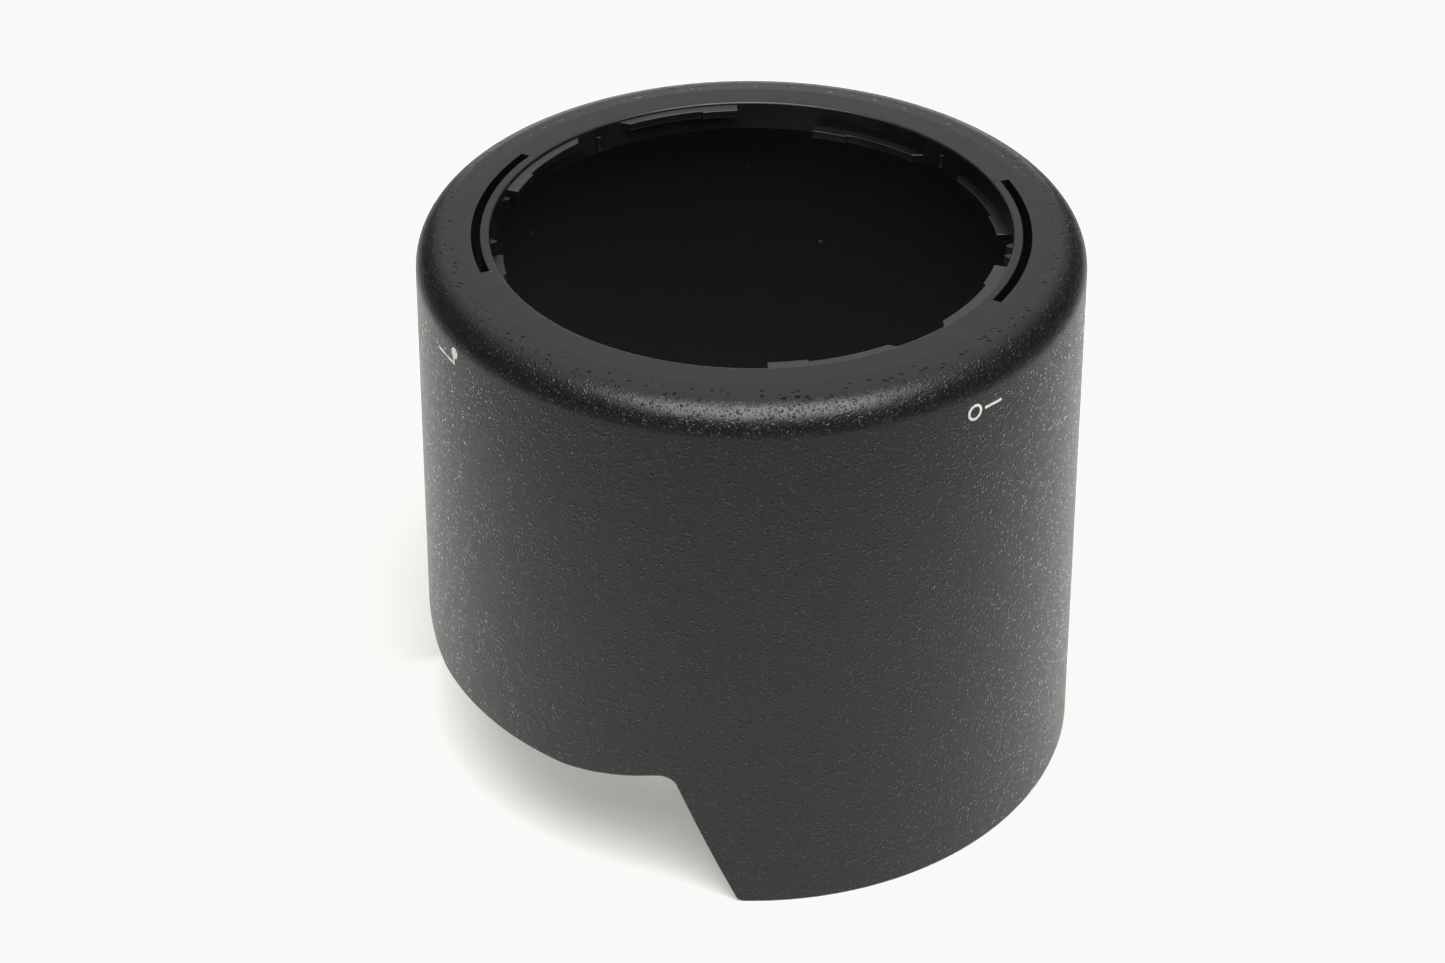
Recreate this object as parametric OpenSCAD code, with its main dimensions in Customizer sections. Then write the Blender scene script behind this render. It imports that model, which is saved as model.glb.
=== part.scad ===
// Petal lens hood with a twist-lock bayonet, standing on its petal tips.
// Millimetres. +Z is the optical axis and points to the lens; z = 0 is the plane of the petal tips.
// The petal that carries the lock mark is on +Y, and the two notches between the petals are on +X and -X.

/* [Shade] */
// Height from the petal tips to the mounting face
hood_h = 81.35; // [70:0.05:90]
// Outer radius at the petal tips
base_r = 48.5; // [48:0.1:50]
// Taper of the shade's wall, degrees: the shade narrows towards the lens
draft = 1.57; // [1:0.01:1.7]
// Thickness of the shade's wall and of its top
wall = 1.8; // [1.6:0.1:2.3]
// Radius of the rounded shoulder
shoulder_r = 4.3; // [3.5:0.1:4.5]
// Fall of the top from the bayonet ring's rim to the start of the shoulder's rounding
top_fall = 0.14; // [0:0.02:0.3]
// Thickness of the matt lining inside the shade
lining_t = 0.15; // [0.1:0.05:0.4]

/* [Notches between the petals] */
// Height of a notch's flat middle above the petal tips
notch_h = 18.25; // [12:0.25:20]
// Half width of the flat middle
notch_flat = 13.8; // [10:0.1:16]
// Radius of the edge that rises from the flat middle to the corner
notch_rise_r = 52; // [45:1:60]
// Distance from the middle of a notch to its corner
notch_corner = 28.6; // [27:0.1:30]
// Rounding of a notch's corner
notch_round = 1.9; // [1:0.1:2.4]
// Lean of a petal's side from upright, degrees
petal_lean = 18.6; // [15:0.1:20]
// Rounding of a petal's tip, where its side meets the plane of the tips
tip_round = 0.8; // [0.4:0.1:1.5]

/* [Bayonet ring] */
// Radius of the opening
open_r = 36; // [35.5:0.1:36.5]
// Outer radius of the ring's visible rim
rim_r = 40.2; // [40:0.1:40.6]
// Depth of the collar below the mounting face
collar_h = 4.3; // [4.1:0.1:5]
// Thickness of the collar and its springs
collar_t = 1.4; // [1:0.1:1.6]
// Rounding of the opening's edge
lip_r = 0.4; // [0.2:0.05:0.4]
// Width of the relief slots behind the springs
slot_w = 1.2; // [1.1:0.05:1.4]
// Angle that each relief slot spans
slot_span = 51; // [48:1:52]
// Azimuth midway between the two upper lugs of the lock mark's side
upper_az = 88; // [86:0.5:90]
// Azimuth midway between the two lower lugs
lower_az = 179.5; // [178:0.5:181]

/* [Lugs] */
// Thickness of a lug along the axis
lug_t = 1.15; // [0.9:0.05:1.3]
// Depth of the upper lugs' faces below the mounting face
upper_lug_drop = 0.4; // [0.4:0.05:0.6]
// Angle that each lug spans
lug_span = 29; // [27:0.5:29]
// Angle from the middle of a pair to each of its lugs
lug_gap = 6; // [5:0.5:6]
// Radius of a lug's inner edge
lug_r = 34.7; // [34.5:0.1:35]
// Radius of the deeper step at a lug's far end
lug_step_r = 34.25; // [34:0.05:34.4]
// Angle that the deeper step spans
lug_step_span = 9; // [7:0.5:11]
// Angle of the slanted lead-in at a lug's near end
lug_lead = 1.8; // [1:0.1:2.5]

/* [Click springs] */
// Half angle of a click spring's moving middle
spring_half = 10.15; // [9.9:0.05:10.2]
// Clearance at each end of the moving middle
spring_gap = 0.05; // [0.04:0.01:0.1]
// Height that the click teeth stand proud of the collar
tooth_h = 1.0; // [0.7:0.05:1.1]
// Half width of a click tooth at its root
tooth_half_w = 0.75; // [0.5:0.05:0.8]
// Height of a click tooth along the axis
tooth_l = 1.4; // [1:0.1:2]

/* [Marks] */
// Height of the lock mark's middle
lock_mark_z = 74.8; // [73:0.1:75]
// Outer diameter of the lock mark's ring
mark_ring_d = 2.4; // [2:0.1:2.8]
// Width of the marks' lines
mark_line_w = 0.38; // [0.3:0.02:0.5]
// Diameter of the index mark's dot
mark_dot_d = 1.6; // [1.2:0.1:1.8]

/* [Hidden] */
$fn = 180;

// Room that a cutter takes past the face it cuts
over = 1;

// Shade: the shoulder's centre sits so that the rounding meets the tapered wall without a step
shoulder_z = hood_h - top_fall - shoulder_r;
shoulder_x = base_r - (shoulder_r + shoulder_z * sin(draft)) / cos(draft);
ceiling_z = hood_h - top_fall - wall;
// The lining stops short of the petals' edges
lining_gap = 0.8;

// Notch: the rising edge starts at a slight angle, and ends where the corner's rounding begins
notch_start_sin = 0.09;
notch_rise_steps = 12;
round_steps = 8;

// Bayonet ring
slot_r = open_r + collar_t;
slot_out_r = slot_r + slot_w;
// Flange that the ring is welded by, under the flat part of the shade's top
weld_in_r = slot_out_r + 0.5;
weld_out_r = shoulder_x;
weld_t = 1.2;
click_az = (upper_az + lower_az) / 2;
arm_start = spring_half + spring_gap / open_r * 180 / PI;
arm_span = slot_span / 2 - arm_start;
collar_z = hood_h - collar_h;
upper_lug_z = hood_h - upper_lug_drop - lug_t;

// Click teeth: each entry is the tooth's angle from the spring's middle and its depth below the face
lock_teeth = [[-4.6, 1.0], [-0.1, 1.0]];
index_teeth = [[-8.6, 1.0], [8.8, 1.7]];

// Guide nubs: small ribs across the middle of each pair of lugs
nub_r = 0.5;
nub_h = 1.1;

// Marks: thin print on the shade's wall
print_t = 0.05;
lock_ring_az = 88;
lock_bar_az = [90.1, 93.9];
index_line_az = [-13.9, -7.8];
index_line_z = 74.55;
index_dot_z = 76.2;

function outer_r(z) = base_r - z * tan(draft);
function inner_r(z) = outer_r(z) - wall / cos(draft);
function polar(r, a) = [r * cos(a), r * sin(a)];

// Half of a notch's outline from its middle outwards, as [y, z] points above the petal tips
function rise_sin(t) = notch_start_sin + t / notch_rise_r;
function rise_z(y) = notch_h + notch_rise_r
    * (sqrt(1 - pow(notch_start_sin, 2)) - sqrt(1 - pow(rise_sin(y - notch_flat), 2)));
function side_y(z) = notch_corner + (rise_z(notch_corner) - z) * tan(petal_lean);
// The corner's rounding touches the petal's side and the rising edge's tangent at the corner
rise_lean = asin(rise_sin(notch_corner - notch_flat));
corner_half = (90 + petal_lean - rise_lean) / 2;
corner_centre = [notch_corner, rise_z(notch_corner)]
    + polar(notch_round / sin(corner_half), 180 + rise_lean + corner_half);
rise_end = corner_centre[0] - notch_round * sin(rise_lean);
// The tip's rounding touches the petal's side and the plane of the tips
tip_centre = [side_y(tip_round) + tip_round / cos(petal_lean), tip_round];
function round_points(centre, r, from, to) =
    [for (i = [0 : round_steps]) centre + polar(r, from + (to - from) * i / round_steps)];
function notch_half() = concat(
    [for (i = [0 : notch_rise_steps - 1])
        let (y = notch_flat + (rise_end - notch_flat) * i / notch_rise_steps) [y, rise_z(y)]],
    round_points(corner_centre, notch_round, 90 + rise_lean, petal_lean),
    round_points(tip_centre, tip_round, 180 + petal_lean, 270),
    [[tip_centre[0], -over]]
);
function mirrored(points) = [for (i = [len(points) - 1 : -1 : 0]) [-points[i][0], points[i][1]]];

// ---- shade ----------------------------------------------------------------------------------------

// Solid outline of the shade, from the axis out
module outer_outline() {
    polygon([
        [0, 0], [base_r, 0],
        [shoulder_x, shoulder_z] + polar(shoulder_r, draft),
        [shoulder_x, shoulder_z],
        [shoulder_x, shoulder_z + shoulder_r],
        [rim_r, hood_h], [0, hood_h]
    ]);
    translate([shoulder_x, shoulder_z]) circle(r = shoulder_r);
}

// Outline of the hollow, drawn in by the lining's thickness where that is wanted
module hollow_outline(skin) {
    corner_r = shoulder_r - wall - skin;
    polygon([
        [0, -over], [inner_r(-over) - skin, -over],
        [shoulder_x, shoulder_z] + polar(corner_r, draft),
        [shoulder_x, shoulder_z],
        [shoulder_x, shoulder_z + corner_r],
        [0, shoulder_z + corner_r]
    ]);
    translate([shoulder_x, shoulder_z]) circle(r = corner_r);
}

// One cutter runs right through the shade and makes both notches
module notch_cutter() {
    outline = notch_half();
    rotate([90, 0, 90])
        linear_extrude(height = 2 * (base_r + over), center = true)
            polygon(concat(mirrored(outline), outline));
}

module shade_barrel() {
    color([0.10, 0.10, 0.10])
    difference() {
        rotate_extrude() difference() {
            outer_outline();
            hollow_outline(0);
            square([rim_r, hood_h + over]);
        }
        notch_cutter();
    }
}

// A skin on the inside of the shade's wall, from just above the petals' edges up to the shoulder
module matt_lining() {
    color([0.03, 0.03, 0.03])
    difference() {
        rotate_extrude() intersection() {
            difference() {
                hollow_outline(0);
                hollow_outline(lining_t);
            }
            translate([inner_r(shoulder_z) - over, lining_gap])
                square([base_r, shoulder_z - lining_gap]);
        }
        translate([0, 0, lining_gap]) notch_cutter();
    }
}

// ---- bayonet ring ---------------------------------------------------------------------------------

// Section through the collar, with the opening's edge rounded
module collar_outline() {
    difference() {
        translate([open_r, collar_z]) square([collar_t, collar_h]);
        translate([open_r, hood_h - lip_r]) square([lip_r, lip_r + over]);
    }
    intersection() {
        translate([open_r + lip_r, hood_h - lip_r]) circle(r = lip_r, $fn = 48);
        translate([open_r, hood_h - lip_r]) square(lip_r);
    }
}

module sector(r_in, r_out, z_low, z_high, start, span) {
    rotate([0, 0, start])
        rotate_extrude(angle = span)
            translate([r_in, z_low]) square([r_out - r_in, z_high - z_low]);
}

// Relief slot, open on the inside, where a spring and its two arms stand in for the collar
module slot_cutter(middle) {
    sector(open_r - over, slot_out_r, collar_z - over, hood_h + over, middle - slot_span / 2, slot_span);
}

module bayonet_ring() {
    color([0.12, 0.12, 0.12])
    difference() {
        rotate_extrude() {
            collar_outline();
            translate([slot_r, ceiling_z]) square([rim_r - slot_r, hood_h - ceiling_z]);
            translate([weld_in_r, ceiling_z - weld_t]) square([weld_out_r - weld_in_r, weld_t]);
        }
        for (half = [0, 180]) slot_cutter(click_az + half);
    }
}

// Bending end of a spring, between the ring and the moving middle
module spring_arm(middle, side) {
    color([0.12, 0.12, 0.12])
    rotate([0, 0, middle + (side < 0 ? -arm_start - arm_span : arm_start)])
        rotate_extrude(angle = arm_span) collar_outline();
}

// Pointed tooth that clicks past the lens's detent
module click_tooth(angle, depth) {
    rotate([0, 0, angle])
        translate([0, 0, hood_h - depth - tooth_l])
            linear_extrude(height = tooth_l) intersection() {
                polygon([
                    [open_r - tooth_h, 0],
                    [open_r, -tooth_half_w], [open_r + collar_t, -tooth_half_w],
                    [open_r + collar_t, tooth_half_w], [open_r, tooth_half_w]
                ]);
                circle(r = open_r + collar_t / 2);
            }
}

// Moving middle of a spring with its teeth
module click_spring(middle, teeth) {
    color([0.14, 0.14, 0.14])
    rotate([0, 0, middle]) {
        rotate([0, 0, -spring_half]) rotate_extrude(angle = 2 * spring_half) collar_outline();
        for (tooth = teeth) click_tooth(tooth[0], tooth[1]);
    }
}

// ---- lugs and nubs --------------------------------------------------------------------------------

// Outline of a lug that starts lug_gap from the pair's middle, with a lead-in there and a step at its end
module lug_outline() {
    lead_rate = lug_lead / (open_r - lug_r);
    deep_r = lug_step_r - over;
    past_r = open_r + 4;
    difference() {
        circle(r = open_r);
        circle(r = lug_step_r);
        difference() {
            circle(r = lug_r);
            polygon([
                [0, 0],
                polar(past_r, lug_gap + lug_span - lug_step_span),
                polar(past_r, lug_gap + lug_span + lug_step_span)
            ]);
        }
        difference() {
            square(4 * open_r, center = true);
            polygon([
                polar(deep_r, lug_gap + lead_rate * (open_r - deep_r)),
                polar(past_r, lug_gap + lead_rate * (open_r - past_r)),
                polar(past_r + 1, lug_gap + lug_span / 2),
                polar(past_r, lug_gap + lug_span),
                polar(deep_r, lug_gap + lug_span)
            ]);
        }
    }
}

module lug(pair_az, side, z_low) {
    color([0.15, 0.15, 0.15])
    rotate([0, 0, pair_az])
        mirror([0, side < 0 ? 1 : 0, 0])
            translate([0, 0, z_low]) linear_extrude(height = lug_t) lug_outline();
}

// Half-round ribs on the collar, one in the middle of each pair of lugs
module guide_nubs() {
    color([0.14, 0.14, 0.14])
    for (middle = [upper_az, lower_az, upper_az + 180, lower_az + 180])
        rotate([0, 0, middle])
            translate([0, 0, collar_z + nub_h / 2])
                linear_extrude(height = 2 * nub_h) intersection() {
                    translate([open_r, 0]) circle(r = nub_r, $fn = 32);
                    circle(r = open_r);
                }
}

// ---- marks ----------------------------------------------------------------------------------------

// Thin skin of print on the shade's wall, where the child's outline falls on it.
// The child is drawn with X around the shade and Y up, and lands at the given azimuth and height.
module print_on_wall(az, z) {
    color([0.85, 0.85, 0.83])
    intersection() {
        rotate_extrude() polygon([
            [outer_r(0), 0], [outer_r(0) + print_t, 0],
            [outer_r(shoulder_z) + print_t, shoulder_z], [outer_r(shoulder_z), shoulder_z]
        ]);
        rotate([0, 0, az]) translate([base_r / 2, 0, z]) rotate([90, 0, 90])
            linear_extrude(height = base_r) children();
    }
}

// Length around the wall between two azimuths at height z
function arc_length(from, to, z) = (to - from) * PI / 180 * outer_r(z);

module lock_mark_ring() {
    print_on_wall(lock_ring_az, lock_mark_z) difference() {
        circle(d = mark_ring_d, $fn = 64);
        circle(d = mark_ring_d - 2 * mark_line_w, $fn = 64);
    }
}

module lock_mark_bar() {
    length = arc_length(lock_bar_az[0], lock_bar_az[1], lock_mark_z);
    print_on_wall((lock_bar_az[0] + lock_bar_az[1]) / 2, lock_mark_z)
        square([length, mark_line_w], center = true);
}

// A line around the wall with an upright end that leads to the dot
module index_mark_line() {
    length = arc_length(index_line_az[0], index_line_az[1], index_line_z);
    upright = index_dot_z - index_line_z - mark_dot_d / 2;
    print_on_wall((index_line_az[0] + index_line_az[1]) / 2, index_line_z) {
        square([length, mark_line_w], center = true);
        translate([length / 2 - mark_line_w, 0]) square([mark_line_w, upright]);
    }
}

module index_mark_dot() {
    print_on_wall(index_line_az[1], index_dot_z) circle(d = mark_dot_d, $fn = 64);
}

shade_barrel();
matt_lining();
bayonet_ring();
click_spring(click_az, lock_teeth);  // lock_click_spring
click_spring(click_az + 180, index_teeth);  // index_click_spring
spring_arm(click_az, -1);  // lock_spring_arm_1
spring_arm(click_az, 1);  // lock_spring_arm_2
spring_arm(click_az + 180, -1);  // index_spring_arm_1
spring_arm(click_az + 180, 1);  // index_spring_arm_2
lug(upper_az, -1, upper_lug_z);  // upper_lug_1
lug(upper_az, 1, upper_lug_z);  // upper_lug_2
lug(upper_az + 180, -1, upper_lug_z);  // upper_lug_3
lug(upper_az + 180, 1, upper_lug_z);  // upper_lug_4
lug(lower_az, -1, collar_z);  // lower_lug_1
lug(lower_az, 1, collar_z);  // lower_lug_2
lug(lower_az + 180, -1, collar_z);  // lower_lug_3
lug(lower_az + 180, 1, collar_z);  // lower_lug_4
guide_nubs();
lock_mark_ring();
lock_mark_bar();
index_mark_line();
index_mark_dot();
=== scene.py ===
"""Looks of the petal lens hood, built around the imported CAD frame.

Every length in the tables below is in millimetres and repeats the part's own driving dimensions. The meshes
are made in metres. The optical axis is +Z, the petal with the lock mark is on +Y, and the notches are on +X
and -X.
"""

import math

import bmesh
import bpy
from mathutils import Matrix, Quaternion, Vector


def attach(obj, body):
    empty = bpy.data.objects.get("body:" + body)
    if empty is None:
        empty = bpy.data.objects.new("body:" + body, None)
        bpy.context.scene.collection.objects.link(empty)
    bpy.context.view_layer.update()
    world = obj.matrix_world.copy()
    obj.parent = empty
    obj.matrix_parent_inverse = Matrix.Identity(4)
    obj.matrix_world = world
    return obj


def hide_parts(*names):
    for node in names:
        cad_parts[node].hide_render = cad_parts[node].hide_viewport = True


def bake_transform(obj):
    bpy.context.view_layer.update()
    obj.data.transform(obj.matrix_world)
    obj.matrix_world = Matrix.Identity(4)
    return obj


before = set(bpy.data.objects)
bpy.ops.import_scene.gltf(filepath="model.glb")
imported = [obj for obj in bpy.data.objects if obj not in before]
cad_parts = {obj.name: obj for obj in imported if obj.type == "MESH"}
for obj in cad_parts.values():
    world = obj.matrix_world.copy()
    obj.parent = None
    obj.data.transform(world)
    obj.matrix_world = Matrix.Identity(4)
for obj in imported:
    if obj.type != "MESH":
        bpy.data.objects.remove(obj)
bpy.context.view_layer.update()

MM = 0.001

# Shade
HOOD_H = 81.35
BASE_R = 48.5
DRAFT = math.radians(1.57)
WALL = 1.8
SHOULDER_R = 4.3
TOP_FALL = 0.14
SHOULDER_Z = HOOD_H - TOP_FALL - SHOULDER_R
SHOULDER_X = BASE_R - (SHOULDER_R + SHOULDER_Z * math.sin(DRAFT)) / math.cos(DRAFT)
CEILING_Z = HOOD_H - TOP_FALL - WALL
LINING_T = 0.15
LINING_GAP = 0.8
EDGE_ROUND = 0.35
EDGES_BELOW_Z = SHOULDER_Z - 40

# Notches between the petals
NOTCH_H = 18.25
NOTCH_FLAT = 13.8
NOTCH_RISE_R = 52
NOTCH_START_SIN = 0.09
NOTCH_CORNER = 28.6
NOTCH_ROUND = 1.9
PETAL_LEAN = math.radians(18.6)
TIP_ROUND = 0.8

# Bayonet ring
OPEN_R = 36
RIM_R = 40.2
COLLAR_T = 1.4
COLLAR_Z = HOOD_H - 4.3
LIP_R = 0.4
LIP_STEPS = 5
SLOT_R = OPEN_R + COLLAR_T
SLOT_OUT_R = SLOT_R + 1.2
SLOT_HALF = 25.5
WELD_IN_R = SLOT_OUT_R + 0.5
WELD_OUT_R = SHOULDER_X
WELD_T = 1.2
UPPER_AZ = 88
LOWER_AZ = 179.5
CLICK_AZ = (UPPER_AZ + LOWER_AZ) / 2

# Lugs, click teeth and nubs
LUG_T = 1.15
UPPER_LUG_Z = HOOD_H - 0.4 - LUG_T
LUG_GAP = 6
LUG_END = 35
LUG_R = 34.7
LUG_STEP_R = 34.25
LUG_STEP = 9
LUG_LEAD = 1.8
TOOTH_H = 1.0
TOOTH_HALF_W = 0.75
TOOTH_L = 1.4
TOOTH_TIP_R = 0.22
LOCK_TEETH = ((-4.6, 1.0), (-0.1, 1.0))
INDEX_TEETH = ((-8.6, 1.0), (8.8, 1.7))
NUB_R = 0.5
NUB_Z = (COLLAR_Z + 0.55, COLLAR_Z + 2.75)
NUB_END = 0.3

# Marks
PRINT_T = 0.05
LOCK_RING_AZ = 88
LOCK_BAR_AZ = (90.1, 93.9)
LOCK_MARK_Z = 74.8
RING_D = 2.4
LINE_W = 0.38
INDEX_LINE_AZ = (-13.9, -7.8)
INDEX_LINE_Z = 74.55
INDEX_DOT_Z = 76.2
DOT_D = 1.6


# ---- shapes ---------------------------------------------------------------------------------------

# Angles between faces from which an edge is rounded, and from which it is shaded sharp
ROUNDED_FROM = math.radians(30)
SHARP_FROM = math.radians(38)


def outer_r(z):
    return BASE_R - z * math.tan(DRAFT)


def inner_r(z):
    return outer_r(z) - WALL / math.cos(DRAFT)


def at(r, azimuth, z):
    """A point in millimetres from its radius, azimuth in degrees and height."""
    a = math.radians(azimuth)
    return (r * math.cos(a), r * math.sin(a), z)


def arc(cx, cy, r, start, end, steps):
    """Points of an arc in a plane, angles in degrees, both ends included."""
    turns = [math.radians(start + (end - start) * i / steps) for i in range(steps + 1)]
    return [(cx + r * math.cos(t), cy + r * math.sin(t)) for t in turns]


def between(start, end, step):
    """Evenly spaced values from start to end, both included, at most step apart."""
    n = max(1, math.ceil(abs(end - start) / step - 1e-9))
    return [start + (end - start) * i / n for i in range(n + 1)]


def new_object(name, points, faces):
    """A smooth-shaded mesh object from points in millimetres, without loose points, its normals outwards."""
    mesh = bpy.data.meshes.new(name)
    mesh.from_pydata([[c * MM for c in p] for p in points], [], faces)
    bm = bmesh.new()
    bm.from_mesh(mesh)
    bmesh.ops.remove_doubles(bm, verts=bm.verts, dist=1e-7)
    bmesh.ops.delete(bm, geom=[v for v in bm.verts if not v.link_faces], context="VERTS")
    bmesh.ops.recalc_face_normals(bm, faces=bm.faces)
    for f in bm.faces:
        f.smooth = True
    bm.to_mesh(mesh)
    bm.free()
    obj = bpy.data.objects.new(name, mesh)
    bpy.context.scene.collection.objects.link(obj)
    return obj


def rounded(obj, width, picks=None, segments=3):
    """Rounds the edges that picks says yes to, or every sharp one, and settles the mesh."""
    bm = bmesh.new()
    bm.from_mesh(obj.data)
    weight = bm.edges.layers.float.new("bevel_weight_edge")
    for e in bm.edges:
        if e.calc_face_angle(0) < ROUNDED_FROM:
            continue
        if picks is None or picks(*[v.co / MM for v in e.verts]):
            e[weight] = 1.0
    bm.to_mesh(obj.data)
    bm.free()
    bevel = obj.modifiers.new("rounding", "BEVEL")
    bevel.limit_method = "WEIGHT"
    bevel.width = width * MM
    bevel.segments = segments
    return settled(obj)


def apply_modifiers(obj):
    bpy.context.view_layer.update()
    shape = obj.evaluated_get(bpy.context.evaluated_depsgraph_get())
    obj.data = bpy.data.meshes.new_from_object(shape)
    obj.modifiers.clear()


def settled(obj):
    """Applies the modifiers, marks the sharp edges, and weights the normals by face area."""
    apply_modifiers(obj)
    obj.data.name = obj.name
    obj.data.set_sharp_from_angle(angle=SHARP_FROM)
    normals = obj.modifiers.new("normals", "WEIGHTED_NORMAL")
    normals.keep_sharp = True
    apply_modifiers(obj)
    return obj


def tube(columns, capped):
    """Faces that join each column of points to the next, every column being a closed outline.
    The last joins the first, or both get a cap."""
    n = len(columns[0])
    points = [p for column in columns for p in column]
    pairs = [(i, i + 1) for i in range(len(columns) - 1)]
    faces = []
    if capped:
        faces = [tuple(range(n)), tuple(range(len(points) - n, len(points)))]
    else:
        pairs.append((len(columns) - 1, 0))
    for a, b in pairs:
        for k in range(n):
            m = (k + 1) % n
            faces.append((a * n + k, b * n + k, b * n + m, a * n + m))
    return points, faces


# ---- shade ----------------------------------------------------------------------------------------


def rise_sin(t):
    return NOTCH_START_SIN + t / NOTCH_RISE_R


def rise_z(y):
    """Height of a notch's rising edge at a distance y from its middle."""
    start = math.sqrt(1 - NOTCH_START_SIN**2)
    return NOTCH_H + NOTCH_RISE_R * (start - math.sqrt(1 - rise_sin(y - NOTCH_FLAT) ** 2))


def side_y(z):
    return NOTCH_CORNER + (rise_z(NOTCH_CORNER) - z) * math.tan(PETAL_LEAN)


def notch_edge(gap):
    """Half of a notch's edge as (distance from its middle, height) points, from its middle to the petal's
    tip. gap lifts the edge."""
    lean = math.degrees(PETAL_LEAN)
    rise_lean = math.degrees(math.asin(rise_sin(NOTCH_CORNER - NOTCH_FLAT)))
    half = (90 + lean - rise_lean) / 2
    reach = NOTCH_ROUND / math.sin(math.radians(half))
    inwards = math.radians(180 + rise_lean + half)
    corner_y = NOTCH_CORNER + reach * math.cos(inwards)
    corner_z = rise_z(NOTCH_CORNER) + reach * math.sin(inwards)
    corner = arc(corner_y, corner_z, NOTCH_ROUND, 90 + rise_lean, lean, 12)
    tip_y = side_y(TIP_ROUND) + TIP_ROUND / math.cos(PETAL_LEAN)
    tip = arc(tip_y, TIP_ROUND, TIP_ROUND, 180 + lean, 270, 5)
    flat = [(y, NOTCH_H) for y in between(0, NOTCH_FLAT, 0.6)[:-1]]
    rise = [(y, rise_z(y)) for y in between(NOTCH_FLAT, corner[0][0], 0.6)[:-1]]
    side = [(side_y(z), z) for z in between(corner[-1][1], tip[0][1], 0.9)[1:-1]]
    return [(y, z + gap) for y, z in flat + rise + corner + side + tip]


def shade_columns(gap=0.0):
    """One (outer azimuth, inner azimuth, height of the lower edge) for each column of the shade's mesh.
    Both azimuths of a notch's column are at the same distance from the notch's middle, as its edge is
    square to X."""
    quarter = []
    for y, z in notch_edge(gap):
        azimuths = [math.degrees(math.asin(y / r(z))) for r in (outer_r, inner_r)]
        quarter.append((*azimuths, z))
    out_end, in_end, z_end = quarter[-1]
    for t in between(0, 1, 0.5 / (90 - out_end))[1:]:
        quarter.append((out_end + (90 - out_end) * t, in_end + (90 - in_end) * t, z_end))
    half = quarter + [(180 - a, 180 - b, z) for a, b, z in quarter[-2::-1]]
    return half + [(-a, -b, z) for a, b, z in half[-2:0:-1]]


def shade_section(low):
    """Closed outline of the shade's wall above a lower edge at height low, as (radius, height, share of the
    way from the outer to the inner azimuth)."""
    lean = math.degrees(DRAFT)
    rows = [low + (SHOULDER_Z - low) * i / 14 for i in range(14)]
    section = [(outer_r(z), z, 0) for z in rows]
    section += [(r, z, 0) for r, z in arc(SHOULDER_X, SHOULDER_Z, SHOULDER_R, lean, 90, 18)]
    section += [(RIM_R, HOOD_H, 0), (RIM_R, CEILING_Z, 0.5)]
    inner_arc = arc(SHOULDER_X, SHOULDER_Z, SHOULDER_R - WALL, 90, lean, 8)
    section += [(r, z, 1) for r, z in inner_arc]
    return section + [(inner_r(z), z, 1) for z in rows[::-1]]


def shade_shell():
    columns = []
    for out_az, in_az, low in shade_columns():
        section = shade_section(low)
        columns.append([at(r, out_az + (in_az - out_az) * t, z) for r, z, t in section])
    obj = new_object("shade_shell", *tube(columns, capped=False))
    return rounded(obj, EDGE_ROUND, picks=lambda a, b: max(a.z, b.z) < EDGES_BELOW_Z)


def lining_skin():
    """A thin matt skin on the inside of the shade's wall, its back sunk a little into the wall."""
    columns = []
    for _, azimuth, low in shade_columns(LINING_GAP):
        rows = [low + (SHOULDER_Z - low) * i / 8 for i in range(9)]
        face = [at(inner_r(z) - LINING_T, azimuth, z) for z in rows]
        back = [at(inner_r(z) + LINING_T / 2, azimuth, z) for z in rows[::-1]]
        columns.append(face + back)
    return settled(new_object("lining_skin", *tube(columns, capped=False)))


# ---- bayonet ring ---------------------------------------------------------------------------------


def ring_section():
    """Closed outline of the ring, with the index of its first point on the slot's outer wall under the plate
    and on the top."""
    under = [
        (OPEN_R, COLLAR_Z),
        (SLOT_R, COLLAR_Z),
        (SLOT_R, CEILING_Z),
    ]
    plate = [
        (SLOT_OUT_R, CEILING_Z),
        (WELD_IN_R, CEILING_Z),
        (WELD_IN_R, CEILING_Z - WELD_T),
        (WELD_OUT_R, CEILING_Z - WELD_T),
        (WELD_OUT_R, CEILING_Z),
        (RIM_R, CEILING_Z),
        (RIM_R, HOOD_H),
        (SLOT_OUT_R, HOOD_H),
    ]
    top = [(SLOT_R, HOOD_H)] + arc(OPEN_R + LIP_R, HOOD_H - LIP_R, LIP_R, 90, 180, LIP_STEPS)
    return under + plate + top, len(under), len(under) + len(plate) - 1


def ring_azimuths():
    """Azimuths of the ring's columns, each with whether the step to the next one crosses a slot."""
    stops = []
    for half in (0, 180):
        middle = CLICK_AZ + half
        slot = between(middle - SLOT_HALF, middle + SLOT_HALF, 1)
        plain = between(middle + SLOT_HALF, middle + 180 - SLOT_HALF, 1)
        stops += [(a, True) for a in slot[:-1]] + [(a, False) for a in plain[:-1]]
    return stops


def bayonet_ring():
    section, low, high = ring_section()
    n = len(section)
    stops = ring_azimuths()
    points = [at(r, a, z) for a, _ in stops for r, z in section]
    slotted = list(range(low, high))
    cut = list(range(high, n)) + list(range(0, low + 1))
    faces = []
    for i, (_, in_slot) in enumerate(stops):
        j = (i + 1) % len(stops)
        for k in slotted if in_slot else range(n):
            m = (k + 1) % n
            faces.append((i * n + k, j * n + k, j * n + m, i * n + m))
        if in_slot:
            faces.append((i * n + high, j * n + high, j * n + low, i * n + low))
        if in_slot != stops[i - 1][1]:
            faces.append(tuple(i * n + k for k in cut))
    obj = new_object("bayonet_ring_body", points, faces)
    return rounded(obj, 0.14, picks=slot_rim_edge)


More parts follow.
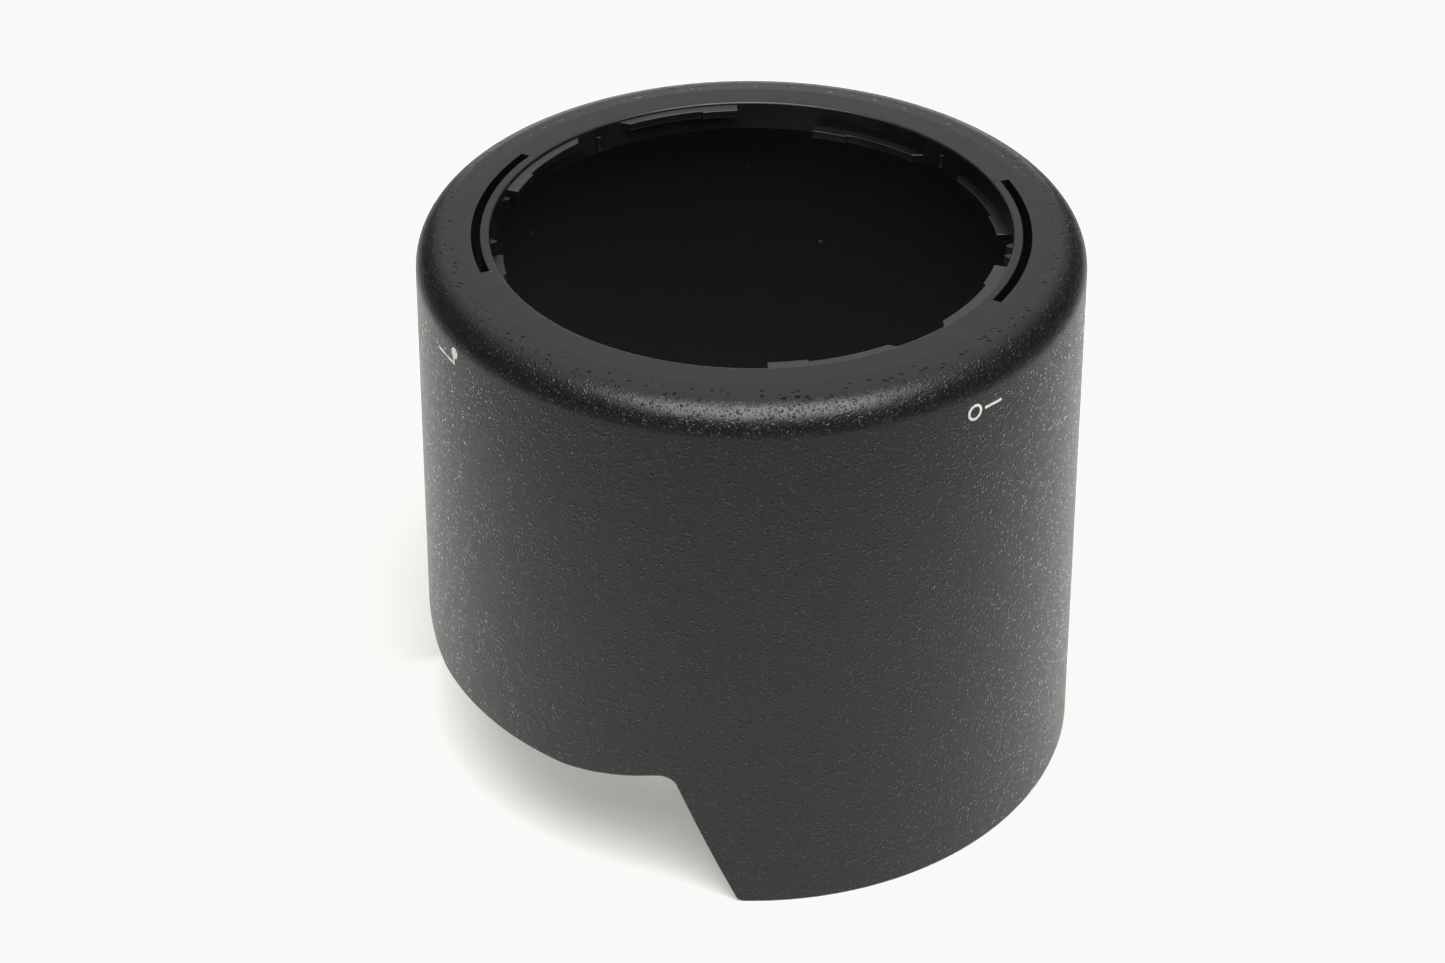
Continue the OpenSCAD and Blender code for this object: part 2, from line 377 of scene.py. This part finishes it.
def slot_rim_edge(a, b):
    """Whether an edge of the ring is on the top rim of a slot, away from the spring."""
    on_top = min(a.z, b.z) > HOOD_H - 0.01
    radii = [math.hypot(p.x, p.y) for p in (a, b)]
    return on_top and min(radii) > SLOT_R - 0.02 and max(radii) < SLOT_OUT_R + 0.02


def collar_section():
    """Closed outline of a spring: the collar's section with both of its top edges rounded."""
    edge = 0.16
    inner = arc(OPEN_R + LIP_R, HOOD_H - LIP_R, LIP_R, 90, 180, LIP_STEPS)
    outer = arc(SLOT_R - edge, HOOD_H - edge, edge, 0, 90, 3)
    return [(OPEN_R, COLLAR_Z), (SLOT_R, COLLAR_Z)] + outer + inner


def spring_half(name, middle, side):
    """Half of a click spring's strip, from the slot's end to the spring's middle."""
    azimuths = between(middle + side * SLOT_HALF, middle, 0.9)
    columns = [[at(r, a, z) for r, z in collar_section()] for a in azimuths]
    return settled(new_object(name, *tube(columns, capped=True)))


def prism(outline, low, high):
    """Points and faces of an upright prism on a closed outline in X and Y."""
    n = len(outline)
    points = [(x, y, z) for z in (low, high) for x, y in outline]
    sides = [(k, (k + 1) % n, n + (k + 1) % n, n + k) for k in range(n)]
    return points, sides + [tuple(range(n)), tuple(range(n, 2 * n))]


def joined(parts):
    """Several (points, faces) as one."""
    points, faces = [], []
    for p, f in parts:
        faces += [tuple(i + len(points) for i in face) for face in f]
        points += p
    return points, faces


def turned(outline, azimuth):
    a = math.radians(azimuth)
    c, s = math.cos(a), math.sin(a)
    return [(x * c - y * s, x * s + y * c) for x, y in outline]


def click_teeth(name, middle, teeth):
    """The teeth of one spring. Each is (angle from the spring's middle, depth below the mounting face)."""
    flank = math.degrees(math.atan2(TOOTH_H, TOOTH_HALF_W))
    nose = arc(OPEN_R - TOOTH_H + TOOTH_TIP_R * 1.25, 0, TOOTH_TIP_R, 90 + flank, 270 - flank, 5)
    root = OPEN_R + COLLAR_T / 2
    foot = [(OPEN_R, -TOOTH_HALF_W), (root, -TOOTH_HALF_W), (root, TOOTH_HALF_W), (OPEN_R, TOOTH_HALF_W)]
    parts = []
    for angle, depth in teeth:
        top = HOOD_H - depth
        parts.append(prism(turned(nose + foot, middle + angle), top - TOOTH_L, top))
    return rounded(new_object(name, *joined(parts)), 0.08, segments=2)


# ---- lugs and nubs --------------------------------------------------------------------------------


def lug_outline():
    """Outline of a lug from a pair's middle outwards: a slanted lead-in, a long face and a deeper step at its
    end. Its back is sunk into the collar."""
    back = OPEN_R + 0.3
    step = LUG_END - LUG_STEP
    lead = LUG_LEAD / (OPEN_R - LUG_R)
    start = LUG_GAP + LUG_LEAD
    face = [(LUG_R, a) for a in between(start, step, 1)]
    deep = [(LUG_STEP_R, a) for a in between(step + 0.25, LUG_END, 1)]
    rear = [(back, a) for a in between(LUG_END, LUG_GAP - lead * (back - OPEN_R), 1)]
    return [(r * math.cos(math.radians(a)), r * math.sin(math.radians(a))) for r, a in face + deep + rear]


def lug(name, pair_az, side, low):
    outline = [(x, side * y) for x, y in lug_outline()]
    obj = new_object(name, *prism(turned(outline, pair_az), low, low + LUG_T))
    return rounded(obj, 0.13)


def guide_nubs():
    """Half-round ribs on the collar with rounded ends, one in the middle of each pair of lugs."""
    parts = []
    low, high = NUB_Z
    taper = ((0, 0.5), (NUB_END * 0.3, 0.85), (NUB_END, 1))
    rows = [(low + up, size) for up, size in taper]
    rows += [(high - down, size) for down, size in reversed(taper)]
    for azimuth in (UPPER_AZ, LOWER_AZ, UPPER_AZ + 180, LOWER_AZ + 180):
        columns = []
        for z, size in rows:
            nose = arc(OPEN_R, 0, NUB_R * size, 90, 270, 12)
            outline = turned(nose + [(OPEN_R + 0.2, 0)], azimuth)
            columns.append([(x, y, z) for x, y in outline])
        parts.append(tube(columns, capped=True))
    return settled(new_object("guide_nub_ribs", *joined(parts)))


# ---- marks ----------------------------------------------------------------------------------------


def printed(name, outlines, azimuth, z):
    """Thin print on the shade's wall. Each outline is a pair of rings of (around, up) points, an outer and an
    inner one, and the print covers what is between them."""
    parts = []
    for outer, inner in outlines:
        columns = []
        for (u0, v0), (u1, v1) in zip(outer, inner):
            column = []
            for u, v, lift in ((u0, v0, -1), (u0, v0, 1), (u1, v1, 1), (u1, v1, -1)):
                r = outer_r(z + v)
                column.append(at(r + lift * PRINT_T, azimuth + math.degrees(u / r), z + v))
            columns.append(column)
        parts.append(tube(columns, capped=False))
    return settled(new_object(name, *joined(parts)))


def disc(d, steps=48):
    return arc(0, 0, d / 2, 0, 360 * (steps - 1) / steps, steps - 1)


def box_outline(u0, u1, v0, v1):
    """A rectangle's outline with slightly rounded corners, walked anticlockwise."""
    c = 0.08
    corners = [(u1 - c, v0 + c, 270), (u1 - c, v1 - c, 0), (u0 + c, v1 - c, 90), (u0 + c, v0 + c, 180)]
    return [p for x, y, a in corners for p in arc(x, y, c, a, a + 90, 3)]


def shrunk(outline):
    """The outline pulled in almost to its middle, which closes a print's face without a large polygon."""
    n = len(outline)
    cx, cy = (sum(p[i] for p in outline) / n for i in (0, 1))
    return [(cx + (x - cx) * 0.02, cy + (y - cy) * 0.02) for x, y in outline]


# ---- materials ------------------------------------------------------------------------------------


LOOK = "_look"

# Radii and heights over which the paint turns smooth on the top, the pits with their painted shade begin and
# the specks turn pale, partly as a painted highlight
SMOOTH_TOP_R = (43.9, 42.9)
SMOOTH_TOP_Z = (80.6, 80.9)
SHADED_PITS_R = (40.9, 41.6)
PALE_Z = (77.0, 75.5)
# Radii and heights over which the upper lugs' tops turn paler, a painted highlight
LUG_TOP_HIGHLIGHT_R = (OPEN_R, OPEN_R - 0.1)
LUG_TOP_HIGHLIGHT_Z = (HOOD_H - 0.55, HOOD_H - 0.45)


class Nodes:
    """A material's node tree, with short calls for adding and linking its nodes."""

    def __init__(self, name):
        self.material = bpy.data.materials.new(f"{name}{LOOK}")
        self.material.use_nodes = True
        self.tree = self.material.node_tree
        self.shader = self.tree.nodes["Principled BSDF"]

    def add(self, kind, inputs=None, **settings):
        node = self.tree.nodes.new(kind)
        for key, value in settings.items():
            setattr(node, key, value)
        for key, value in (inputs or {}).items():
            self.put(node, key, value)
        return node

    def put(self, node, key, value):
        """Sets an input, or links it if the value is another node's output."""
        if isinstance(value, bpy.types.NodeSocket):
            self.tree.links.new(value, node.inputs[key])
        else:
            node.inputs[key].default_value = value

    def math(self, operation, a, b):
        return self.add("ShaderNodeMath", {0: a, 1: b}, operation=operation).outputs[0]

    def vector(self, operation, *inputs):
        return self.add("ShaderNodeVectorMath", dict(enumerate(inputs)), operation=operation).outputs

    def coords(self, scale):
        """The frame's own coordinates in millimetres, stretched by scale."""
        place = self.add("ShaderNodeTexCoord").outputs["Object"]
        size = [s / MM for s in scale]
        return self.add("ShaderNodeMapping", {"Vector": place, "Scale": size}).outputs["Vector"]

    def polar(self):
        """The frame's coordinates in millimetres, with the distance from the axis and the height."""
        where = self.coords((1, 1, 1))
        level = self.vector("MULTIPLY", where, (1, 1, 0))["Vector"]
        radius = self.vector("LENGTH", level)["Value"]
        return where, radius, self.add("ShaderNodeSeparateXYZ", {0: where}).outputs["Z"]

    def noise(self, where, scale, detail=2.0, output="Fac"):
        inputs = {"Vector": where, "Scale": scale, "Detail": detail}
        return self.add("ShaderNodeTexNoise", inputs).outputs[output]

    def cells(self, where, scale):
        return self.add("ShaderNodeTexVoronoi", {"Vector": where, "Scale": scale}).outputs

    def ramp(self, value, low, high, start=0.0, end=1.0):
        """Value mapped smoothly from low..high to start..end."""
        inputs = {"Value": value, 1: low, 2: high, 3: start, 4: end}
        return self.add("ShaderNodeMapRange", inputs, interpolation_type="SMOOTHSTEP").outputs["Result"]

    def mix(self, factor, a, b):
        node = self.add("ShaderNodeMix", {"Factor": factor}, data_type="RGBA")
        self.put(node, 6, a)
        self.put(node, 7, b)
        return node.outputs[2]

    def bump(self, height, distance):
        inputs = {"Height": height, "Distance": distance * MM, "Strength": 1.0}
        return self.add("ShaderNodeBump", inputs).outputs["Normal"]

    def finish(self, **inputs):
        for key, value in inputs.items():
            self.put(self.shader, key.replace("_", " "), value)
        return self.material


def spatter(n, where, scale, small, large):
    """Round specks of random sizes, 1 in their middles and 0 between them, scale of them in a millimetre.
    The sizes are shares of their spacing."""
    cell = n.cells(where, scale)
    chance = n.add("ShaderNodeSeparateColor", {0: cell["Color"]}).outputs[0]
    size = n.ramp(chance, 0.2, 1.0, small, large)
    return n.ramp(n.math("DIVIDE", cell["Distance"], size), 1.0, 0.35)


def grained_shell():
    """Black paint with a spatter of low raised specks on the wall and the shoulder, and a smooth top with a
    few pits towards its edge, whose reflection is taken out as painted shade. The specks' rough tips scatter
    grazing light, and their paler colour on the wall is partly a painted highlight."""
    n = Nodes("grained_shell")
    where, radius, height = n.polar()
    top = n.math("MULTIPLY", n.ramp(radius, *SMOOTH_TOP_R), n.ramp(height, *SMOOTH_TOP_Z))
    grained = n.math("SUBTRACT", 1.0, top)
    wobble = n.noise(where, 2.2, detail=1.0, output="Color")
    ragged = n.vector("MULTIPLY_ADD", wobble, (0.45, 0.45, 0.45), n.coords((1, 1, 1.1)))["Vector"]
    specks = n.math("MULTIPLY", spatter(n, ragged, 1.9, 0.18, 0.55), grained)
    grains = n.math("MULTIPLY", spatter(n, ragged, 3.2, 0.3, 0.55), grained)
    # Pits in the relief, with painted shade in them: further down, the specular tint is black wherever they
    # are
    pits_and_painted_shade = n.ramp(spatter(n, ragged, 1.2, 0.1, 0.5), 0.1, 0.5)
    pits_and_painted_shade = n.math("MULTIPLY", n.math("MULTIPLY", pits_and_painted_shade, top), n.ramp(radius, *SHADED_PITS_R))
    relief = n.math("ADD", specks, n.math("MULTIPLY", grains, 0.45))
    relief = n.math("SUBTRACT", relief, n.math("MULTIPLY", pits_and_painted_shade, 2.5))
    # Specks coloured paler on the wall only: a paler speck colour that is partly a painted highlight for the
    # light their tips catch
    pale = n.math("MULTIPLY", specks, n.ramp(height, *PALE_Z))
    base_rough = n.ramp(n.noise(where, 0.4), 0.3, 0.7, 0.32, 0.36)
    return n.finish(
        Base_Color=n.mix(pale, (0.0035, 0.0035, 0.0034, 1), (0.007, 0.0069, 0.0067, 1)),
        Roughness=n.math("SUBTRACT", base_rough, n.math("MULTIPLY", pale, 0.2)),
        Specular_IOR_Level=0.35,
        # Painted shade: no reflection inside the pits
        Specular_Tint=n.mix(pits_and_painted_shade, (1, 1, 1, 1), (0, 0, 0, 1)),
        Sheen_Weight=pale,
        Sheen_Roughness=0.24,
        Normal=n.bump(relief, 0.06),
    )


def matt_black():
    """Matt coat that takes almost all light, with a few specks of dust."""
    n = Nodes("matt_lining")
    where = n.coords((1, 1, 1))
    height = n.noise(where, 4.0, detail=2.0)
    dust = n.ramp(n.cells(where, 0.11)["Distance"], 0.02, 0.05, 1.0, 0.0)
    colour = n.mix(dust, (0.0015, 0.0015, 0.0016, 1), (0.04, 0.04, 0.04, 1))
    return n.finish(Base_Color=colour, Roughness=0.6, Specular_IOR_Level=0.16, Normal=n.bump(height, 0.05))


def smooth_ring():
    """Smooth black plastic, with a painted highlight that makes the tops of the upper lugs a little paler."""
    n = Nodes("smooth_ring")
    where, radius, height = n.polar()
    # Painted highlight: the tops of the upper lugs are coloured paler
    wear_and_highlight = n.math("MULTIPLY", n.ramp(radius, *LUG_TOP_HIGHLIGHT_R), n.ramp(height, *LUG_TOP_HIGHLIGHT_Z))
    colour = n.mix(wear_and_highlight, (0.0025, 0.0025, 0.0025, 1), (0.012, 0.012, 0.0117, 1))
    relief = n.noise(where, 2.5, detail=3.0)
    rough = n.ramp(n.noise(where, 0.35), 0.35, 0.65, 0.34, 0.42)
    bump = n.bump(relief, 0.006)
    return n.finish(Base_Color=colour, Roughness=rough, Specular_IOR_Level=0.38, Normal=bump)


def mark_print():
    """Pale printing ink, a little thin in places."""
    n = Nodes("mark_print")
    where = n.coords((1, 1, 1))
    wear_and_highlight = n.ramp(n.noise(where, 3.0, detail=3.0), 0.35, 0.6)
    colour = n.mix(wear_and_highlight, (0.42, 0.42, 0.41, 1), (0.6, 0.6, 0.585, 1))
    height = n.noise(where, 5.0)
    return n.finish(Base_Color=colour, Roughness=0.55, Normal=n.bump(height, 0.02))


# ---- studio ---------------------------------------------------------------------------------------

# Azimuth of the photograph's camera
PHOTO_AZ = math.radians(49.5)
# The brightest red, green and blue of the picture: a slightly warm white, a little below full
PICTURE_WHITE = (0.957, 0.948, 0.932)
# The lens's focal length in widths of the picture
FOCAL_IN_WIDTHS = 1.97617
# Side of the square floor
FLOOR_SIZE = 8000
# Height of the middle of the room's glow above the horizon
GLOW_ELEVATION = math.radians(58)


def photo_camera():
    """The camera of the photograph: its direction and distance, then the small turns of its framing."""
    azimuth, elevation = PHOTO_AZ, math.radians(34.77)
    distance, target_z = 0.41603, 0.04266
    yaw, pitch, roll = 0.00965, -0.00922, 0.00496
    sensor = 36
    level = math.cos(elevation)
    back = Vector((level * math.cos(azimuth), level * math.sin(azimuth), math.sin(elevation)))
    forward = -back
    right = Vector((-math.sin(azimuth), math.cos(azimuth), 0))
    up = right.cross(forward)
    turn = Quaternion(up, yaw)
    forward, right = turn @ forward, turn @ right
    forward = Quaternion(right, pitch) @ forward
    up = right.cross(forward)
    twist = Quaternion(forward, -roll)
    right, up = twist @ right, twist @ up
    data = bpy.data.cameras.new("photo_camera")
    data.sensor_width = sensor
    data.lens = FOCAL_IN_WIDTHS * sensor
    data.clip_start, data.clip_end = 0.01, 50
    camera = bpy.data.objects.new("photo_camera", data)
    bpy.context.scene.collection.objects.link(camera)
    rotation = Matrix((right, up, -forward)).transposed()
    camera.matrix_world = Matrix.Translation(back * distance + Vector((0, 0, target_z))) @ rotation.to_4x4()
    bpy.context.scene.camera = camera


def area_light(name, place, size, power):
    """A rectangular lamp that points at the middle of the hood."""
    data = bpy.data.lights.new(name, "AREA")
    data.shape = "RECTANGLE"
    data.size, data.size_y = size
    data.energy = power
    light = bpy.data.objects.new(name, data)
    bpy.context.scene.collection.objects.link(light)
    light.location = place
    light.visible_camera = False
    light.rotation_mode = "QUATERNION"
    light.rotation_quaternion = (Vector((0, 0, 0.05)) - place).to_track_quat("-Z", "Y")


def soft_room(bright_side):
    """A dim room that is brighter towards one direction, as by a lit backdrop."""
    world = bpy.data.worlds.new("soft_room")
    world.use_nodes = True
    tree = world.node_tree
    direction = tree.nodes.new("ShaderNodeTexCoord").outputs["Generated"]
    dot = tree.nodes.new("ShaderNodeVectorMath")
    dot.operation = "DOT_PRODUCT"
    tree.links.new(direction, dot.inputs[0])
    dot.inputs[1].default_value = bright_side
    glow = tree.nodes.new("ShaderNodeMapRange")
    glow.interpolation_type = "SMOOTHSTEP"
    tree.links.new(dot.outputs["Value"], glow.inputs["Value"])
    for socket, value in zip(glow.inputs[1:5], (0.68, 0.97, 0.08, 1.2)):
        socket.default_value = value
    tree.links.new(glow.outputs["Result"], tree.nodes["Background"].inputs["Strength"])
    tree.nodes["Background"].inputs["Color"].default_value = (1, 1, 1, 1)
    bpy.context.scene.world = world


def floor_paper():
    """Plain pale paper with a faint glow of its own. Reflections see it turn dim away from the hood, but for
    a strip towards the photograph's camera."""
    n = Nodes("floor_paper")
    paper = n.noise(n.coords((1, 1, 1)), 0.02, detail=2.0)
    pale = n.mix(paper, (0.505, 0.502, 0.494, 1), (0.52, 0.517, 0.508, 1))
    position = n.add("ShaderNodeTexCoord").outputs["Object"]
    turned_in = {"Vector": position, "Rotation": (0, 0, -PHOTO_AZ)}
    along = n.add("ShaderNodeMapping", turned_in).outputs["Vector"]
    strip = n.vector("MAXIMUM", along, (0, -9, 0))["Vector"]
    off_strip = n.vector("LENGTH", strip)["Value"]
    mirrored = n.add("ShaderNodeLightPath").outputs["Is Glossy Ray"]
    lit = n.math("MAXIMUM", n.ramp(off_strip, 0.27, 0.12), n.math("SUBTRACT", 1.0, mirrored))
    return n.finish(
        Base_Color=n.mix(lit, (0.13, 0.13, 0.13, 1), pale),
        Roughness=0.9,
        Emission_Color=(1, 0.992, 0.976, 1),
        Emission_Strength=n.math("MULTIPLY", lit, 0.2),
    )


def picture_settings():
    """Plain tones, with the brightest ones held at the photograph's paper white."""
    picture = bpy.context.scene.view_settings
    picture.view_transform = "Standard"
    picture.use_curve_mapping = True
    picture.curve_mapping.extend = "HORIZONTAL"
    for curve, white in zip(picture.curve_mapping.curves, PICTURE_WHITE):
        curve.points[1].location = (1, white)
    picture.curve_mapping.update()


def studio():
    half = FLOOR_SIZE / 2
    corners = [(-half, -half, 0), (half, -half, 0), (half, half, 0), (-half, half, 0)]
    floor = new_object("floor", corners, [(0, 1, 2, 3)])
    floor.data.materials.append(floor_paper())
    toward = Vector((math.cos(PHOTO_AZ), math.sin(PHOTO_AZ), 0))
    right = Vector((-toward.y, toward.x, 0))
    up = Vector((0, 0, 1))
    area_light("overhead_softbox", toward * 0.36 + right * 0.05 + up * 0.94, (1.0, 0.75), 25.5)
    area_light("backdrop_panel", toward * -1.3 + up * 0.2, (0.9, 0.33), 2.0)
    soft_room(up * math.sin(GLOW_ELEVATION) - toward * math.cos(GLOW_ELEVATION))
    picture_settings()


# ---- assembly -------------------------------------------------------------------------------------


def place(obj, material, body, *nodes):
    """Gives a rigid piece its material and body, and hides the CAD nodes it stands for."""
    dress(obj, material, nodes)
    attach(obj, body)


def dress(obj, material, nodes):
    obj.data.materials.append(material)
    if nodes:
        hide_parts(*nodes)


def bend(obj, material, nodes):
    """A piece that spans from the hood, before the slot's end, to a spring's moving middle. It gets its
    material, hides its CAD nodes and is joined to no body.
    """
    dress(obj, material, nodes)
    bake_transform(obj)


def springs(ring):
    """Both click springs. Their teeth ride the moving middle, and their strips are joined to no body."""
    rows = (("lock", CLICK_AZ, LOCK_TEETH), ("index", CLICK_AZ + 180, INDEX_TEETH))
    for name, middle, teeth in rows:
        nose = click_teeth(f"{name}_click_teeth", middle, teeth)
        place(nose, ring, f"{name}_spring", f"{name}_click_spring")
        for count, side in ((1, -1), (2, 1)):
            strip = spring_half(f"{name}_spring_strip_{count}", middle, side)
            bend(strip, ring, [f"{name}_spring_arm_{count}"])


def lugs(ring):
    """Four upper and four lower lugs. Of each pair, the one next to a click spring is joined to no body, and
    the other is fixed to the hood.
    """
    for level, pair_az, low in (("upper", UPPER_AZ, UPPER_LUG_Z), ("lower", LOWER_AZ, COLLAR_Z)):
        for count in range(4):
            side = 1 if count % 2 else -1
            turn = 180 if count > 1 else 0
            node = f"{level}_lug_{count + 1}"
            piece = lug(f"{node}_tab", pair_az + turn, side, low)
            sprung = side == (1 if level == "upper" else -1)
            if sprung:
                bend(piece, ring, [node])
            else:
                place(piece, ring, "hood", node)


def arc_length(azimuths, z):
    """Length around the wall between two azimuths at height z."""
    start, end = azimuths
    return math.radians(end - start) * outer_r(z)


def bar_outline(length):
    return box_outline(-length / 2, length / 2, -LINE_W / 2, LINE_W / 2)


def lock_mark(ink):
    """The ring and the bar that show where the hood locks."""
    ring = [(disc(RING_D), disc(RING_D - 2 * LINE_W))]
    place(printed("lock_ring_print", ring, LOCK_RING_AZ, LOCK_MARK_Z), ink, "hood", "lock_mark_ring")
    bar = bar_outline(arc_length(LOCK_BAR_AZ, LOCK_MARK_Z))
    middle = sum(LOCK_BAR_AZ) / 2
    place(printed("lock_bar_print", [(bar, shrunk(bar))], middle, LOCK_MARK_Z), ink, "hood", "lock_mark_bar")


def index_mark(ink):
    """The angled line and the dot that show where the hood goes on."""
    length = arc_length(INDEX_LINE_AZ, INDEX_LINE_Z)
    line = bar_outline(length)
    upright_top = INDEX_DOT_Z - INDEX_LINE_Z - DOT_D / 2 + PRINT_T
    upright = box_outline(length / 2 - LINE_W, length / 2, -LINE_W / 2, upright_top)
    angle = [(line, shrunk(line)), (upright, shrunk(upright))]
    middle = sum(INDEX_LINE_AZ) / 2
    place(printed("index_line_print", angle, middle, INDEX_LINE_Z), ink, "hood", "index_mark_line")
    dot = disc(DOT_D)
    spot = printed("index_dot_print", [(dot, shrunk(dot))], INDEX_LINE_AZ[1], INDEX_DOT_Z)
    place(spot, ink, "hood", "index_mark_dot")


def build():
    shell, lining, ring, ink = grained_shell(), matt_black(), smooth_ring(), mark_print()
    place(shade_shell(), shell, "hood", "shade_barrel")
    place(lining_skin(), lining, "hood", "matt_lining")
    place(bayonet_ring(), ring, "hood", "bayonet_ring")
    place(guide_nubs(), ring, "hood", "guide_nubs")
    springs(ring)
    lugs(ring)
    lock_mark(ink)
    index_mark(ink)


build()
studio()
photo_camera()
